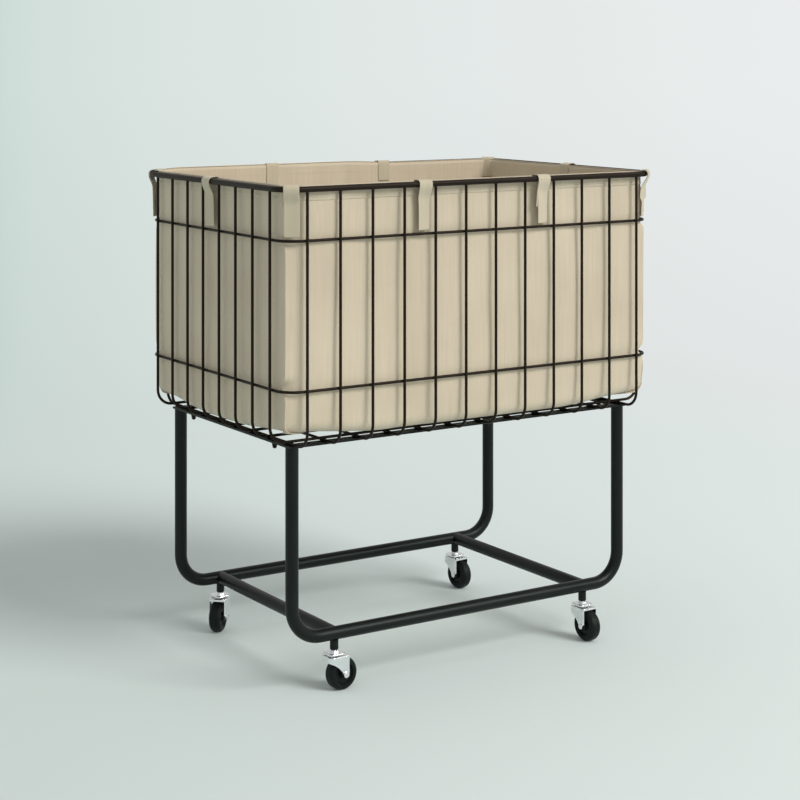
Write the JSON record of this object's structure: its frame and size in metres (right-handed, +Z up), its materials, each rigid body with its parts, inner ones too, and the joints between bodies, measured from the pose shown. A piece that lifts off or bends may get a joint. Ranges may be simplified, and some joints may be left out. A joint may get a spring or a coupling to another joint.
{
  "type": "laundry cart",
  "caption": "Rolling laundry cart: a coated wire basket with a lift-out canvas liner, bolted to a bent-tube stand on swivel casters.",
  "frame": {"origin": "on the floor, under the middle of the basket", "axes": "+X along the long side to the right, +Y from the front to the back, +Z up"},
  "size_m": [0.7164, 0.4794, 0.7729],
  "materials": {
    "stand_coating": "satin black powder coat on steel tube and bar",
    "basket_coating": "satin black powder coat on steel wire",
    "nut_coating": "satin black coated steel",
    "bright_zinc_plate": "bright zinc plated pressed steel",
    "race_ball_steel": "polished hardened steel, lightly greased",
    "axle_plate": "bright zinc plated steel",
    "wheel_hub_plastic": "moulded black plastic",
    "tyre_rubber": "matt black solid rubber",
    "canvas": "unbleached plain-weave canvas",
    "strap_webbing": "unbleached cotton webbing with hook and loop facing"
  },
  "bodies": {
    "cart_frame": {"front_leg_tube": "stand_coating", "rear_leg_tube": "stand_coating", "left_base_crossbar": "stand_coating", "right_base_crossbar": "stand_coating", "front_top_bar": "stand_coating", "rear_top_bar": "stand_coating", "left_top_bar": "stand_coating", "right_top_bar": "stand_coating", "caster_sockets": "stand_coating", "basket_rim": "basket_coating", "upper_ring": "basket_coating", "lower_ring": "basket_coating", "front_to_back_wires": "basket_coating", "side_to_side_wires": "basket_coating", "basket_studs": "basket_coating", "acorn_nuts": "nut_coating", "caster_stem_front_left": "bright_zinc_plate", "race_cap_front_left": "bright_zinc_plate", "caster_stem_front_right": "bright_zinc_plate", "race_cap_front_right": "bright_zinc_plate", "caster_stem_rear_left": "bright_zinc_plate", "race_cap_rear_left": "bright_zinc_plate", "caster_stem_rear_right": "bright_zinc_plate", "race_cap_rear_right": "bright_zinc_plate"},
    "swivel_front_left": {"fork_front_left": "bright_zinc_plate", "race_balls_front_left": "race_ball_steel", "axle_bolt_front_left": "axle_plate", "axle_nut_front_left": "axle_plate"},
    "wheel_front_left": {"wheel_hub_front_left": "wheel_hub_plastic", "tyre_front_left": "tyre_rubber"},
    "swivel_front_right": {"fork_front_right": "bright_zinc_plate", "race_balls_front_right": "race_ball_steel", "axle_bolt_front_right": "axle_plate", "axle_nut_front_right": "axle_plate"},
    "wheel_front_right": {"wheel_hub_front_right": "wheel_hub_plastic", "tyre_front_right": "tyre_rubber"},
    "swivel_rear_left": {"fork_rear_left": "bright_zinc_plate", "race_balls_rear_left": "race_ball_steel", "axle_bolt_rear_left": "axle_plate", "axle_nut_rear_left": "axle_plate"},
    "wheel_rear_left": {"wheel_hub_rear_left": "wheel_hub_plastic", "tyre_rear_left": "tyre_rubber"},
    "swivel_rear_right": {"fork_rear_right": "bright_zinc_plate", "race_balls_rear_right": "race_ball_steel", "axle_bolt_rear_right": "axle_plate", "axle_nut_rear_right": "axle_plate"},
    "wheel_rear_right": {"wheel_hub_rear_right": "wheel_hub_plastic", "tyre_rear_right": "tyre_rubber"},
    "liner": {"liner_bag": "canvas", "liner_hem": "canvas", "short_side_straps": "strap_webbing", "long_side_straps": "strap_webbing", "corner_straps": "strap_webbing"}
  },
  "joints": [
    {"name": "swivel_front_left", "type": "hinge", "parent": "cart_frame", "child": "swivel_front_left", "pos_m": [-0.2385, -0.185, 0.054], "axis": [0, 0, 1], "continuous": true},
    {"name": "roll_front_left", "type": "hinge", "parent": "swivel_front_left", "child": "wheel_front_left", "pos_m": [-0.22573, -0.18411, 0.025], "axis": [-0.0698, 0.9976, 0], "continuous": true},
    {"name": "swivel_front_right", "type": "hinge", "parent": "cart_frame", "child": "swivel_front_right", "pos_m": [0.2385, -0.185, 0.054], "axis": [0, 0, 1], "continuous": true},
    {"name": "roll_front_right", "type": "hinge", "parent": "swivel_front_right", "child": "wheel_front_right", "pos_m": [0.23895, -0.19779, 0.025], "axis": [0.9994, 0.0349, 0], "continuous": true},
    {"name": "swivel_rear_left", "type": "hinge", "parent": "cart_frame", "child": "swivel_rear_left", "pos_m": [-0.2385, 0.185, 0.054], "axis": [0, 0, 1], "continuous": true},
    {"name": "roll_rear_left", "type": "hinge", "parent": "swivel_rear_left", "child": "wheel_rear_left", "pos_m": [-0.24755, 0.17595, 0.025], "axis": [0.7071, -0.7071, 0], "continuous": true},
    {"name": "swivel_rear_right", "type": "hinge", "parent": "cart_frame", "child": "swivel_rear_right", "pos_m": [0.2385, 0.185, 0.054], "axis": [0, 0, 1], "continuous": true},
    {"name": "roll_rear_right", "type": "hinge", "parent": "swivel_rear_right", "child": "wheel_rear_right", "pos_m": [0.23962, 0.17225, 0.025], "axis": [0.9962, 0.0872, 0], "continuous": true},
    {"name": "liner_lift", "type": "slide", "parent": "cart_frame", "child": "liner", "axis": [0, 0, 1], "range_m": [0, 0.42]}
  ]
}
